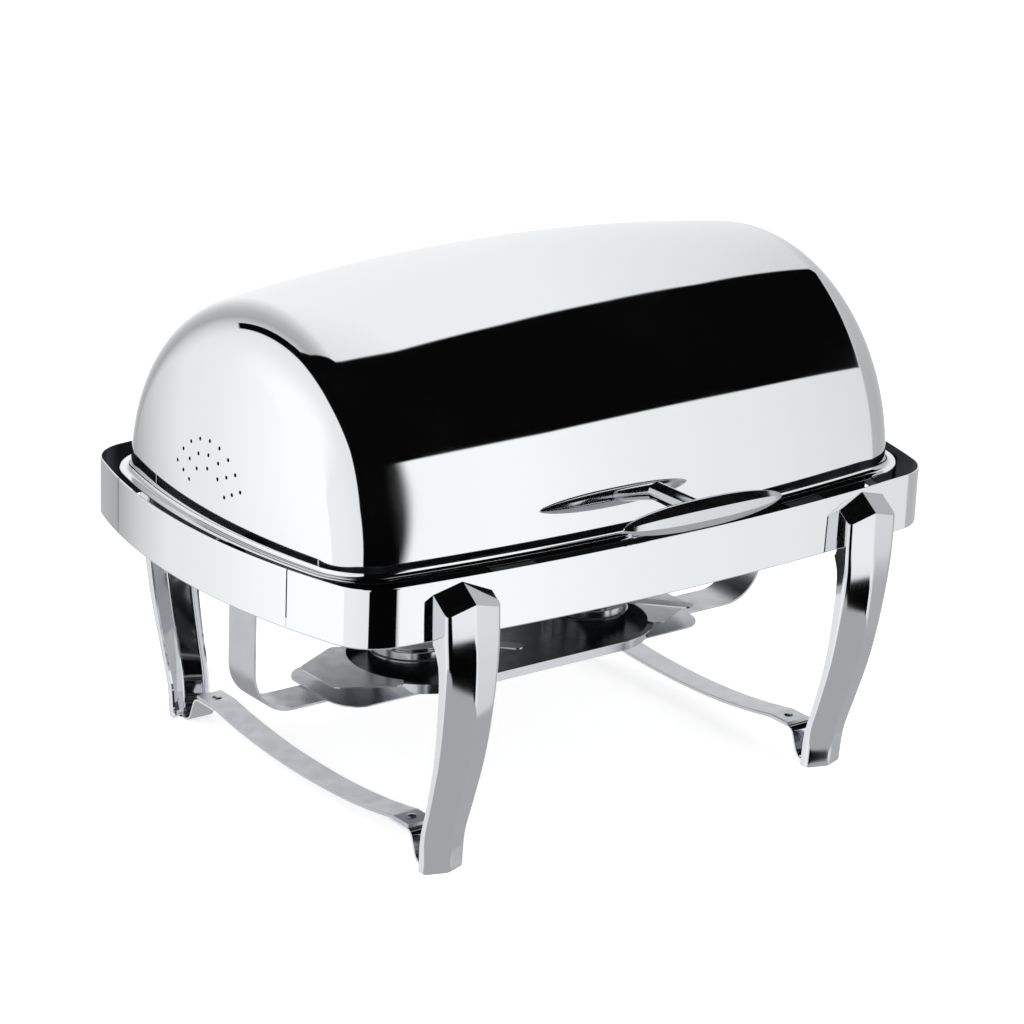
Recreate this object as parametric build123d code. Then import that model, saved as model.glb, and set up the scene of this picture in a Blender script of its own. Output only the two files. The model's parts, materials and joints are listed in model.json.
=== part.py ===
"""Roll top chafer: a half-barrel lid that turns back over a bowed steel body on four legs.

Millimetres. X runs along the length, the handle faces -Y, Z is up, and the feet stand on Z = 0.
Everything is drawn about the lid's hinge line and moved onto the middle of the footprint at export.
"""
from build123d import *
from math import cos, radians, sin, sqrt
import os

os.makedirs("parts", exist_ok=True)

# ---------------------------------------------------------------- driving dimensions
SHEET = 1.2                       # pressed stainless sheet of the pans, lid and tray

BODY = dict(length=650, width=438.6, side_bow=25, end_bow=43, corner=43)
BAND_BOTTOM = 205.9
BAND_TOP = 254.1
BAND_SHEET = 1.5
SEAM_Y = 125                      # the band's four sheets meet here on both ends

LID = dict(length=611, width=383.8, side_bow=25.25, end_bow=32, corner=51.2)
PIVOT_Z = 250.6                   # hinge line and lower edge of the closed lid
LID_FLANGE = 9.3

VENT_CENTRE = (2, 268.3)          # centre of the vent arcs on both end faces, as (y, z)
VENT_ARCS = [(51.5, 9), (40, 7), (29, 5)]    # radius of the arc and number of holes
VENT_FROM, VENT_TO = 26, 154      # first and last hole of an arc, degrees
VENT_HOLE = 3

HANDLE_LENGTH = 163
HANDLE_HEIGHT = 25
HANDLE_DEPTH = 15
HANDLE_Y, HANDLE_Z = -248, 282
POST_WIDTH, POST_HEIGHT = 18, 15
HANDLE_SCREW = 4                  # thread diameter of the two screws in the post
HANDLE_SCREW_PITCH = 8

PIN = 8                           # lid pivot pin
PIN_PLAY = 0.05                   # radial clearance of the pin in the lid's pivot plate
PIVOT_PLATE_X = 301               # inner face of the lid's pivot plate
LUG_X = 285                       # middle of the upright of the pan frame's lug
LUG_SHEET = 3

FRAME = (544, 334, 40)            # pan frame outside: length, width, corner radius
FRAME_OPENING = (512, 307, 46)
FRAME_SHEET = 1.5
FRAME_BOTTOM, FRAME_TOP = 214, 261
LEDGE_TOP = 258

WATER_RIM = (530, 325, 38)        # full-size pan rim
WATER_TOP = (508, 303, 44)
WATER_BASE = (490, 285, 34)
WATER_DEPTH = 80
FOOD_RIM = (263, 323, 38)         # half-size pan rim
FOOD_TOP = (232, 290, 40)
FOOD_BASE = (218, 276, 32)
FOOD_DEPTH = 65
FOOD_X = 132.5

LEG_TOP_X, LEG_FOOT_X = 206, 201
LEG_SHEET = 2
RIDGE_FLAT = 2.5                  # half width of the rounded ridge
# height, ridge, edge, half width, depth of the folded returns; ridge and edge are distances from Y = 0
LEG_STATIONS = [
    (0, 198, 191.5, 19, 8),
    (30, 201, 194, 19.5, 8),
    (60, 209.5, 203, 20.5, 8),
    (100, 220.5, 214.5, 22, 9),
    (140, 228.5, 221.5, 23.5, 10),
    (185, 231, 226, 25, 12),
    (212, 229.5, 226, 26, 20),
    (255, 227, 224.5, 26, 20),
]
ROOF_RIDGE = (228, 238)           # the roof's low point on the ridge and its peak, as (|y|, z)
ROOF_PEAK = (209.3, 251.5)
ROOF_CORNER = (26, 207, 244)      # outer corner of the roof at the band, from the leg's middle
TONGUE_WIDTH = 24
TONGUE = [(-188, 1), (-170, 1), (-161, 25), (-131, 25)]

CROSS_BAR = [(-158, 27.5), (-122, 27.5), (-84, 15.5), (84, 15.5), (122, 27.5), (158, 27.5)]
CROSS_BAR_X, CROSS_BAR_WIDTH, CROSS_BAR_SHEET = 200, 25, 3

STRAP_WIDTH, STRAP_SHEET = 38, 2
STRAP_TOP_Z = 84.6                # upper face of the strap's level run
STRAP_BEND = 38

TRAY_X = -8                       # where the loose tray stands along the strap
TRAY_LENGTH, TRAY_WIDTH = 302, 136
TRAY_LIP = 4
TRAY_FLOOR, TRAY_TOP = 86, 96
WING = (104, 100, 26)             # base wing: length, width, corner radius
WING_X = 140
TAB_END, TAB_HALF_WIDTH = 188, 26
TAB_ROOT, TAB_ROOT_HALF_WIDTH = 130, 56

CUP_X = 92.5                      # cup centres either side of the tray's middle
CUP_RADIUS = 36.5
CUP_MOUTH = 28
CUP_HEIGHT = 25.5
CUP_SHEET = 0.8
CUP_BEAD = (17.3, 18.7, 1.2)      # bead: from height, to height, how far it stands out
DAMPER_RADIUS = 30.5
DAMPER_HANDLE, DAMPER_HANDLE_WIDTH = 95, 13
DAMPER_PIVOT_RADIUS = 32.3
DAMPER_ANGLE = -45                # direction of the damper's handle, degrees from +X
DAMPER_GAP = 0.3

HANDLE_FRONT = -HANDLE_Y + HANDLE_DEPTH / 2
LEG_BACK = max(ridge for _, ridge, _, _, _ in LEG_STATIONS)
ORIGIN_SHIFT = (HANDLE_FRONT - LEG_BACK) / 2     # brings the footprint's middle to Y = 0


# ---------------------------------------------------------------- helpers
def keep(name, shape):
    """Write one sub-part, with the footprint's middle at the origin."""
    export_step(Pos(0, ORIGIN_SHIFT, 0) * shape, f"parts/{name}.step")


def bowed_outline(length, width, side_bow, end_bow, corner, grow=0):
    """Face with four bowed sides and four tangent corners; grow moves its edge outwards evenly."""
    a, w = length / 2, width / 2
    side_r = (a**2 + side_bow**2) / (2 * side_bow)
    end_r = (w**2 + end_bow**2) / (2 * end_bow)
    side_c = Vector(0, side_r - w)
    end_c = Vector(a - end_r, 0)
    # the corner's centre lies where two circles about the bow centres cross
    gap = end_c - side_c
    ra, rb = side_r - corner, end_r - corner
    along = (ra**2 - rb**2 + gap.length**2) / (2 * gap.length)
    across = sqrt(ra**2 - along**2)
    direction = gap.normalized()
    sideways = Vector(-direction.Y, direction.X)
    corner_c = side_c + direction * along + sideways * across
    if corner_c.X < 0:
        corner_c -= sideways * (2 * across)
    on_side = side_c + (corner_c - side_c).normalized() * (side_r + grow)
    on_end = end_c + (corner_c - end_c).normalized() * (end_r + grow)
    outward = ((on_side + on_end) * 0.5 - corner_c).normalized()
    middle = corner_c + outward * (corner + grow)
    quarter = [on_side, middle, on_end]
    front = [(0, -w - grow)] + [(p.X, p.Y) for p in quarter]
    right = [(a + grow, 0)] + [(p.X, -p.Y) for p in reversed(quarter)]
    back = [(0, w + grow)] + [(-p.X, -p.Y) for p in quarter]
    left = [(-a - grow, 0)] + [(-p.X, p.Y) for p in reversed(quarter)]
    points = front + right + back + left
    points = points[1:] + points[:1]
    arcs = [ThreePointArc(points[i], points[i + 1], points[(i + 2) % 16]) for i in range(0, 16, 2)]
    return make_face(arcs)


def band_ring(low, high, outer=0.0, inner=-BAND_SHEET):
    """Ring that follows the body's outline between two heights and two offsets."""
    ring = bowed_outline(**BODY, grow=outer) - bowed_outline(**BODY, grow=inner)
    return Pos(0, 0, low) * extrude(ring, high - low)


def side_distance(shape, x, inset):
    """How far a bowed side lies from Y = 0 at x, for a surface inset from the outline."""
    radius = ((shape["length"] / 2)**2 + shape["side_bow"]**2) / (2 * shape["side_bow"])
    return sqrt((radius - inset)**2 - x**2) - radius + shape["width"] / 2


def strip(points, radius, width, sheet, plane):
    """Bent strip of sheet: a flat section swept along straight runs and bends of one plane."""
    path = plane * FilletPolyline(*points, radius=radius)
    wide = plane.z_dir
    section = Plane(origin=path @ 0, x_dir=wide, z_dir=path % 0) * Rectangle(width, sheet)
    return sweep(section, path)


def on_yz(x):
    return Plane(origin=(x, 0, 0), x_dir=(0, 1, 0), z_dir=(1, 0, 0))


def on_xz(y):
    return Plane(origin=(0, y, 0), x_dir=(1, 0, 0), z_dir=(0, -1, 0))


def rod_x(radius, start, end, y, z):
    return Pos((start + end) / 2, y, z) * Rot(0, 90, 0) * Cylinder(radius, abs(end - start))


def rod_y(radius, start, end, x, z):
    return Pos(x, (start + end) / 2, z) * Rot(90, 0, 0) * Cylinder(radius, abs(end - start))


def rod_z(radius, low, high, x, y):
    return Pos(x, y, (low + high) / 2) * Cylinder(radius, high - low)


def both_ends(shape):
    return [shape, mirror(shape, Plane.YZ)]


def four_corners(shape):
    return both_ends(shape) + both_ends(mirror(shape, Plane.XZ))


# ---------------------------------------------------------------- lid
def lid_body(grow, arc):
    """Body of revolution of half the lid's outline about the hinge line."""
    back_side = Pos(0, LID["width"]) * Rectangle(2 * LID["length"], 2 * LID["width"])
    half = bowed_outline(**LID, grow=grow) & back_side
    return Pos(0, 0, PIVOT_Z) * revolve(half, Axis.X, arc)


lid_outside = lid_body(0, 180)
lid_inside = lid_body(-SHEET, 360)
flange_face = bowed_outline(**LID, grow=LID_FLANGE) - bowed_outline(**LID, grow=-SHEET / 2)
flange = Pos(0, 0, PIVOT_Z) * extrude(flange_face, SHEET)
lid_shell = (lid_outside - lid_inside) + (flange - lid_inside)

vents = []
for arc_radius, holes in VENT_ARCS:
    for i in range(holes):
        angle = radians(VENT_FROM + (VENT_TO - VENT_FROM) * i / (holes - 1))
        y = VENT_CENTRE[0] + arc_radius * cos(angle)
        z = VENT_CENTRE[1] + arc_radius * sin(angle)
        vents.append(rod_x(VENT_HOLE / 2, -LID["length"], LID["length"], y, z))
lid_shell -= vents

screw_heights = [HANDLE_Z + side * HANDLE_SCREW_PITCH / 2 - 1 for side in (-1, 1)]
screw_tip = -225
screw_seat = -185
screw_holes = [rod_y(HANDLE_SCREW / 2, screw_tip, screw_seat, 0, z) for z in screw_heights]
lid_shell -= screw_holes
keep("lid_shell", lid_shell)


def lens(length, height):
    """Pointed outline of two equal arcs."""
    over = ThreePointArc((-length / 2, 0), (0, height / 2), (length / 2, 0))
    under = ThreePointArc((length / 2, 0), (0, -height / 2), (-length / 2, 0))
    return make_face([over, under])


front_outline = on_xz(HANDLE_Y) * Pos(0, HANDLE_Z) * lens(HANDLE_LENGTH, HANDLE_HEIGHT)
seen_from_front = extrude(front_outline, 20, both=True)
seen_from_above = extrude(Pos(0, HANDLE_Y, HANDLE_Z) * lens(HANDLE_LENGTH, HANDLE_DEPTH), 20, both=True)
handle_bar = seen_from_front & seen_from_above
keep("lid_handle_bar", handle_bar)

post_face = on_xz(-180) * Pos(0, HANDLE_Z) * Ellipse(POST_WIDTH / 2, POST_HEIGHT / 2)
post = extrude(post_face, -HANDLE_Y - 180) - lid_body(0, 360) - handle_bar - screw_holes
keep("lid_handle_post", post)

screws = []
for z in screw_heights:
    seat = -sqrt((LID["width"] / 2 - SHEET)**2 - (z + HANDLE_SCREW - PIVOT_Z)**2)
    shank = rod_y(HANDLE_SCREW / 2, screw_tip, seat + 1, 0, z)
    head = rod_y(HANDLE_SCREW_PITCH / 2 - 0.3, seat, seat + 2.4, 0, z)
    screws.append(shank + head)
keep("lid_handle_screws", Compound(screws))

plate_face = Pos(0, 4) * RectangleRounded(28, 34, 10)
plate_plane = Plane(origin=(PIVOT_PLATE_X, 0, PIVOT_Z), x_dir=(0, 1, 0), z_dir=(1, 0, 0))
plate_blank = extrude(plate_plane * plate_face, 8)
pivot_hole = rod_x(PIN / 2 + PIN_PLAY, PIVOT_PLATE_X - 5, PIVOT_PLATE_X + 9, 0, PIVOT_Z)
pivot_plate = (plate_blank & lid_inside) - pivot_hole
for side, shape in zip(("right", "left"), both_ends(pivot_plate)):
    keep(f"lid_pivot_plate_{side}", shape)

# ---------------------------------------------------------------- hinge pins and lugs on the pan frame
frame_end = FRAME[0] / 2
lug_path = [(frame_end, PIVOT_Z - 10.6), (LUG_X, PIVOT_Z - 10.6), (LUG_X, PIVOT_Z + 12.4)]
lug = strip(lug_path, 4, 30, LUG_SHEET, on_xz(0)) - rod_x(PIN / 2, frame_end, PIVOT_PLATE_X, 0, PIVOT_Z)
for side, shape in zip(("right", "left"), both_ends(lug)):
    keep(f"pivot_lug_{side}", shape)

lug_out = LUG_X + LUG_SHEET / 2
lug_in = LUG_X - LUG_SHEET / 2
pin_stem = rod_x(PIN / 2, lug_in, PIVOT_PLATE_X + 2.4, 0, PIVOT_Z)
pin_head = rod_x(6.5, lug_in - 3.5, lug_in, 0, PIVOT_Z)
pin_collar = rod_x(7, lug_out, PIVOT_PLATE_X - 0.3, 0, PIVOT_Z)
pin = pin_stem + pin_head + pin_collar
for side, shape in zip(("right", "left"), both_ends(pin)):
    keep(f"pivot_pin_{side}", shape)

# ---------------------------------------------------------------- pan frame, pans
length, width, corner = FRAME
frame_walls = extrude(RectangleRounded(*FRAME), FRAME_TOP - FRAME_BOTTOM)
inside = RectangleRounded(length - 2 * FRAME_SHEET, width - 2 * FRAME_SHEET, corner - FRAME_SHEET)
frame_walls -= extrude(inside, FRAME_TOP - FRAME_BOTTOM)
ledge = extrude(inside - RectangleRounded(*FRAME_OPENING), SHEET)
pan_frame = Pos(0, 0, FRAME_BOTTOM) * frame_walls + Pos(0, 0, LEDGE_TOP - SHEET) * ledge

strap_x = frame_end - FRAME_SHEET - STRAP_SHEET / 2
strap_rivet_z = 250
strap_rivet_holes = [rod_x(2.5, strap_x - 3, frame_end + 2, y, strap_rivet_z) for y in (-11, 11)]
pan_frame -= [hole for rivet in strap_rivet_holes for hole in both_ends(rivet)]
keep("pan_frame", pan_frame)


def pressed_pan(rim, top, base, depth, rim_bottom):
    """Tapered pan with a flat rim, hollow and open upwards."""
    def tapered(inset, floor):
        upper = RectangleRounded(top[0] - 2 * inset, top[1] - 2 * inset, top[2] - inset)
        lower = RectangleRounded(base[0] - 2 * inset, base[1] - 2 * inset, base[2] - inset)
        upper = Pos(0, 0, rim_bottom + SHEET) * upper
        lower = Pos(0, 0, floor) * lower
        return loft([lower, upper], ruled=True)

    floor = rim_bottom + SHEET - depth
    rim_plate = Pos(0, 0, rim_bottom) * extrude(RectangleRounded(*rim), SHEET)
    return tapered(0, floor) + rim_plate - tapered(SHEET, floor + SHEET)


keep("water_pan", pressed_pan(WATER_RIM, WATER_TOP, WATER_BASE, WATER_DEPTH, LEDGE_TOP))
food_pan = pressed_pan(FOOD_RIM, FOOD_TOP, FOOD_BASE, FOOD_DEPTH, LEDGE_TOP + SHEET)
keep("food_pan_left", Pos(-FOOD_X, 0, 0) * food_pan)
keep("food_pan_right", Pos(FOOD_X, 0, 0) * food_pan)

# ---------------------------------------------------------------- skirt band
ring = band_ring(BAND_BOTTOM, BAND_TOP)
leg_screw_z = 226
leg_screw_xs = [LEG_TOP_X - 12, LEG_TOP_X + 12]
leg_screw_holes = [rod_y(3, -235, -195, x, leg_screw_z) for x in leg_screw_xs]
ring -= [hole for blank in leg_screw_holes for hole in four_corners(blank)]
tall = 2 * BAND_TOP
reach = BODY["length"]
keep("skirt_front", ring & (Pos(0, -SEAM_Y - reach / 2, 0) * Box(2 * reach, reach, 2 * tall)))
keep("skirt_back", ring & (Pos(0, SEAM_Y + reach / 2, 0) * Box(2 * reach, reach, 2 * tall)))
keep("skirt_end_left", ring & (Pos(-reach / 2, 0, 0) * Box(reach, 2 * SEAM_Y, 2 * tall)))
keep("skirt_end_right", ring & (Pos(reach / 2, 0, 0) * Box(reach, 2 * SEAM_Y, 2 * tall)))

splice_ring = band_ring(BAND_BOTTOM + 8, BAND_TOP - 8, -BAND_SHEET, -2 * BAND_SHEET)
splice_plate = splice_ring & (Pos(reach / 2, -SEAM_Y, 0) * Box(reach, 34, 2 * tall))
keep("skirt_splice_plates", Compound(four_corners(splice_plate)))

# ---------------------------------------------------------------- brackets between band and pan frame
frame_side = FRAME[1] / 2
front_path = [(-210.4, 214), (-210.4, 249.3), (-frame_side - 1, 249.3), (-frame_side - 1, 238)]
front_bracket = strip(front_path, 3, 40, 2, on_yz(150)) - ring
for side, shape in zip(("right", "left"), both_ends(front_bracket)):
    keep(f"front_bracket_{side}", shape)

end_path = [(frame_end + 1, 238), (frame_end + 1, 246.5), (320.6, 246.5), (320.6, 216)]
end_bracket = strip(end_path, 3, 30, 2, on_xz(-42)) - ring
for side, shape in zip(("right", "left"), both_ends(end_bracket)):
    keep(f"end_bracket_{side}", shape)


# ---------------------------------------------------------------- legs
def leg_body(inset, foot):
    """Solid of the leg's V section lofted through its stations; an inset body is open at the back."""
    sections = []
    for z, ridge, edge, half, returns in LEG_STATIONS:
        middle = LEG_FOOT_X + (LEG_TOP_X - LEG_FOOT_X) * z / BAND_TOP
        back = edge - returns - (30 if inset else 0)
        outline = [(-half + inset, back), (-half + inset, edge - inset), (-RIDGE_FLAT, ridge - inset),
                   (RIDGE_FLAT, ridge - inset), (half - inset, edge - inset), (half - inset, back)]
        points = [(middle + x, -y, max(z, foot)) for x, y in outline]
        sections.append(make_face(Polyline(*points, close=True)))
    return loft(sections, ruled=True)


def under_roof(shape, drop):
    """Cut the leg's top to its two roof facets, lowered by drop."""
    peak = Vector(LEG_TOP_X, -ROOF_PEAK[0], ROOF_PEAK[1] - drop)
    low = Vector(LEG_TOP_X, -ROOF_RIDGE[0], ROOF_RIDGE[1] - drop)
    for side in (-1, 1):
        outer = Vector(LEG_TOP_X + side * ROOF_CORNER[0], -ROOF_CORNER[1], ROOF_CORNER[2] - drop)
        normal = (low - peak).cross(outer - peak)
        facing_up = normal if normal.Z > 0 else -normal
        shape = split(shape, Plane(origin=peak, z_dir=facing_up), keep=Keep.BOTTOM)
    return shape


body_prism = band_ring(BAND_BOTTOM, BAND_TOP + 20, 0, -60)
leg_outside = under_roof(leg_body(0, 0), 0) - body_prism
leg_cavity = under_roof(leg_body(LEG_SHEET, LEG_SHEET), LEG_SHEET)
tongue = strip(TONGUE, (9, 7), TONGUE_WIDTH, LEG_SHEET, on_yz(LEG_FOOT_X))
bar_rivet_hole = rod_z(2.5, 20, 32, CROSS_BAR_X, -145)
leg = (leg_outside - leg_cavity) + tongue - bar_rivet_hole
for name, shape in zip(("front_right", "front_left", "back_right", "back_left"), four_corners(leg)):
    keep(f"leg_{name}", shape)

block_room = Pos(LEG_TOP_X, -215, leg_screw_z) * Box(80, 40, 26)
mount_block = (leg_cavity & block_room) - body_prism - leg_screw_holes
mount_block -= Pos(LEG_TOP_X, -200, leg_screw_z) * Box(80, 14, 40)
keep("leg_mount_blocks", Compound(four_corners(mount_block)))

leg_screws = []
for x in leg_screw_xs:
    seat = -side_distance(BODY, x + 6, BAND_SHEET)
    shank = rod_y(3, -218, seat + 1, x, leg_screw_z)
    head = extrude(on_xz(seat) * Pos(x, leg_screw_z) * RegularPolygon(5.5, 6), -4)
    leg_screws.append(shank + head - ring)
leg_screws = [screw for blank in leg_screws for screw in four_corners(blank)]
keep("leg_screws", Compound(leg_screws))


# ---------------------------------------------------------------- lower bars
def rivet(low, high, x, y):
    """Rivet through two sheets, with a round head on both sides."""
    head = 1.6
    heads = rod_z(4.5, low - head, low, x, y) + rod_z(4.5, high, high + head, x, y)
    return rod_z(2.5, low, high, x, y) + heads


cross_bar = strip(CROSS_BAR, (50, 160, 160, 50), CROSS_BAR_WIDTH, CROSS_BAR_SHEET, on_yz(CROSS_BAR_X))
cross_bar -= [bar_rivet_hole, mirror(bar_rivet_hole, Plane.XZ)]
for side, shape in zip(("right", "left"), both_ends(cross_bar)):
    keep(f"cross_bar_{side}", shape)
bar_rivet = rivet(24, 29, CROSS_BAR_X, -145)
keep("cross_bar_rivets", Compound(four_corners(bar_rivet)))

# ---------------------------------------------------------------- burner strap
strap_z = STRAP_TOP_Z - STRAP_SHEET / 2
strap_top = LEDGE_TOP - SHEET - 1
strap_path = [(-strap_x, strap_top), (-strap_x, strap_z), (strap_x, strap_z), (strap_x, strap_top)]
burner_strap = strip(strap_path, STRAP_BEND, STRAP_WIDTH, STRAP_SHEET, on_xz(0))
burner_strap -= [hole for blank in strap_rivet_holes for hole in both_ends(blank)]
keep("burner_strap", burner_strap)

strap_rivets = []
for y in (-11, 11):
    inner = strap_x - STRAP_SHEET / 2
    shank = rod_x(2.5, inner, frame_end, y, strap_rivet_z)
    inner_head = rod_x(4.5, inner - 1.6, inner, y, strap_rivet_z)
    outer_head = rod_x(4.5, frame_end, frame_end + 1.6, y, strap_rivet_z)
    strap_rivets += both_ends(shank + inner_head + outer_head)
keep("strap_rivets", Compound(strap_rivets))

# ---------------------------------------------------------------- burner tray
pan_length, pan_width = TRAY_LENGTH - 2 * TRAY_LIP, TRAY_WIDTH - 2 * TRAY_LIP
tray_opening = SlotOverall(pan_length - 2 * SHEET, pan_width - 2 * SHEET)
tray = extrude(SlotOverall(pan_length, pan_width), TRAY_TOP - TRAY_FLOOR)
tray += Pos(0, 0, TRAY_TOP - TRAY_FLOOR - SHEET) * extrude(SlotOverall(TRAY_LENGTH, TRAY_WIDTH), SHEET)
tray -= Pos(0, 0, SHEET) * extrude(tray_opening, TRAY_TOP)
keep("burner_tray", Pos(TRAY_X, 0, TRAY_FLOOR) * tray)

wing = Pos(WING_X, 0, TRAY_FLOOR - SHEET) * extrude(RectangleRounded(*WING), SHEET)
tab_points = [(TAB_ROOT, -TAB_ROOT_HALF_WIDTH), (TAB_END, -TAB_HALF_WIDTH),
              (TAB_END, TAB_HALF_WIDTH), (TAB_ROOT, TAB_ROOT_HALF_WIDTH)]
tab_face = make_face(FilletPolyline(*tab_points, radius=10, close=True)) - tray_opening
tab = Pos(0, 0, TRAY_TOP) * extrude(tab_face, SHEET)
for side, turn in (("right", 0), ("left", 180)):
    keep(f"tray_wing_{side}", Pos(TRAY_X, 0, 0) * Rot(0, 0, turn) * wing)
    keep(f"tray_handle_{side}", Pos(TRAY_X, 0, 0) * Rot(0, 0, turn) * tab)

# ---------------------------------------------------------------- burner cups and dampers
bead_low, bead_high, bead_out = CUP_BEAD
inner_radius = CUP_RADIUS - CUP_SHEET
cup_profile = [
    (0, 0), (CUP_RADIUS, 0), (CUP_RADIUS, bead_low - bead_out), (CUP_RADIUS + bead_out, bead_low),
    (CUP_RADIUS + bead_out, bead_high), (CUP_RADIUS, bead_high + bead_out), (CUP_RADIUS, CUP_HEIGHT),
    (CUP_MOUTH, CUP_HEIGHT), (CUP_MOUTH, CUP_HEIGHT - CUP_SHEET), (inner_radius, CUP_HEIGHT - CUP_SHEET),
    (inner_radius, CUP_SHEET), (0, CUP_SHEET),
]
cup_blank = revolve(Plane.XZ * make_face(Polyline(*cup_profile, close=True)), Axis.Z)

pivot_angle = radians(DAMPER_ANGLE + 180)
pivot_x = DAMPER_PIVOT_RADIUS * cos(pivot_angle)
pivot_y = DAMPER_PIVOT_RADIUS * sin(pivot_angle)
damper_low = CUP_HEIGHT + DAMPER_GAP
damper_high = damper_low + SHEET
cup = cup_blank - rod_z(2, 0, 2 * CUP_HEIGHT, pivot_x, pivot_y)

damper_face = Circle(DAMPER_RADIUS) + Pos(pivot_x, pivot_y) * Circle(5.5)
reach_out = DAMPER_HANDLE / 2
damper_face += Rot(0, 0, DAMPER_ANGLE) * Pos(reach_out, 0) * SlotOverall(DAMPER_HANDLE, DAMPER_HANDLE_WIDTH)
damper = Pos(0, 0, damper_low) * extrude(damper_face, SHEET) - rod_z(2.1, 0, 2 * CUP_HEIGHT, pivot_x, pivot_y)
damper_post = rod_z(2, CUP_HEIGHT - 3, damper_high + 0.3, pivot_x, pivot_y)
damper_post += rod_z(4, damper_high + 0.3, damper_high + 1.9, pivot_x, pivot_y)

cup_floor = TRAY_FLOOR + SHEET + 0.1
for side, x in (("left", -CUP_X), ("right", CUP_X)):
    place = Pos(TRAY_X + x, 0, cup_floor)
    keep(f"burner_cup_{side}", place * cup)
    keep(f"damper_{side}", place * damper)
    keep(f"damper_post_{side}", place * damper_post)
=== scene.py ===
# %% [markdown]
# # Roll top chafer
# A roll top chafer keeps food hot on a buffet. Its lid is half a barrel of mirror-polished stainless
# steel that turns back over the body. The CAD frame fixes where everything is, and this lesson makes
# the steel look like steel: smooth pressed shells, folded legs, and finishes from mirror to satin.

import bmesh
import bpy
import json
from math import acos, asin, atan2, cos, pi, radians, sin, sqrt, tan
from mathutils import Matrix, Vector


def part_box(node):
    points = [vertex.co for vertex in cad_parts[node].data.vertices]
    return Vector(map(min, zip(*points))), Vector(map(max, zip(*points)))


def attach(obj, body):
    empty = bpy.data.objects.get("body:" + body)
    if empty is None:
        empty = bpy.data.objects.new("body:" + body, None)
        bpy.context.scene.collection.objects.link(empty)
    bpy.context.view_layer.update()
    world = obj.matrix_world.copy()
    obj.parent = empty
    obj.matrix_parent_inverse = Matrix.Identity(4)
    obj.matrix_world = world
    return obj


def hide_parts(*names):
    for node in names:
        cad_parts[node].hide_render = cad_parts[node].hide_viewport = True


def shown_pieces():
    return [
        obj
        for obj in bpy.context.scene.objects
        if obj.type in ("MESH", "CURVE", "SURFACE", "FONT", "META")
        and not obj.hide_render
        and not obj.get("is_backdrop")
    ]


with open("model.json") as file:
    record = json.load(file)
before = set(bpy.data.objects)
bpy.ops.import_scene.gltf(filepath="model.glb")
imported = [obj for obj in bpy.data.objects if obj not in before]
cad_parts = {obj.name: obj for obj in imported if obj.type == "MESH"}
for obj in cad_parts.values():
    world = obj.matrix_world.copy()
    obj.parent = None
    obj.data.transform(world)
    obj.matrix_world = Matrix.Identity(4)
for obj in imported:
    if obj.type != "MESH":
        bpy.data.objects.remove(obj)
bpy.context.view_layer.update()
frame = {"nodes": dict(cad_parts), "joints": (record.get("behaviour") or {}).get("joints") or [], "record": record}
MM = 0.001
hinge = next(joint for joint in frame["joints"] if joint["name"] == "lid_hinge")
AXIS_Y, AXIS_Z = hinge["pos_m"][1], hinge["pos_m"][2]


# %% [markdown]
# ## Meshes from rows of points
# Pressed sheet is smooth, and a mirror shows every facet, so the big shells are drawn from formulas
# as rows of points joined by quads. A closed row makes a tube, and caps close its two ends.

# %% Grid and sweep helpers
SMOOTH_BELOW = radians(32)


def finish_mesh(name, verts, faces, material):
    """New object from points and faces, shaded smooth where it bends gently."""
    mesh = bpy.data.meshes.new(name)
    mesh.from_pydata([tuple(v) for v in verts], [], faces)
    shape = bmesh.new()
    shape.from_mesh(mesh)
    bmesh.ops.remove_doubles(shape, verts=shape.verts, dist=1e-6)
    bmesh.ops.recalc_face_normals(shape, faces=shape.faces)
    shape.to_mesh(mesh)
    shape.free()
    mesh.shade_smooth()
    mesh.set_sharp_from_angle(angle=SMOOTH_BELOW)
    piece = bpy.data.objects.new(name, mesh)
    bpy.context.collection.objects.link(piece)
    mesh.materials.append(material)
    return piece


def grid(rows, closed_across=False, closed_along=False):
    """Points and quads that join each row to the next."""
    across = len(rows[0])
    verts = [point for row in rows for point in row]
    faces = []
    for i in range(len(rows) if closed_along else len(rows) - 1):
        for j in range(across if closed_across else across - 1):
            a, b = i * across, (i + 1) % len(rows) * across
            k = (j + 1) % across
            faces.append((a + j, a + k, b + k, b + j))
    return verts, faces


def joined(*parts):
    """Several (points, faces) pairs as one."""
    verts, faces = [], []
    for more_verts, more_faces in parts:
        start = len(verts)
        verts += more_verts
        faces += [tuple(i + start for i in face) for face in more_faces]
    return verts, faces


def tube(rows, capped=True):
    """A closed section carried along rows, with flat caps on an open run."""
    verts, faces = grid(rows, closed_across=True, closed_along=not capped)
    if capped:
        across = len(rows[0])
        last = len(verts) - across
        faces += [tuple(range(across)), tuple(range(last, last + across))]
    return verts, faces


# %% [markdown]
# ## Finishes
# Every part is stainless steel, and only the last step of its making differs: buffing gives a
# mirror, pressing leaves it bright, and a belt leaves satin lines. Colours are sRGB hex, and one
# function turns them to the linear values that Blender works in.

# %% Colour and node helpers
def linear(hex_colour):
    """sRGB hex to linear RGBA."""
    parts = [int(hex_colour[i:i + 2], 16) / 255 for i in (1, 3, 5)]
    return [c / 12.92 if c <= 0.04045 else ((c + 0.055) / 1.055)**2.4 for c in parts] + [1.0]


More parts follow.
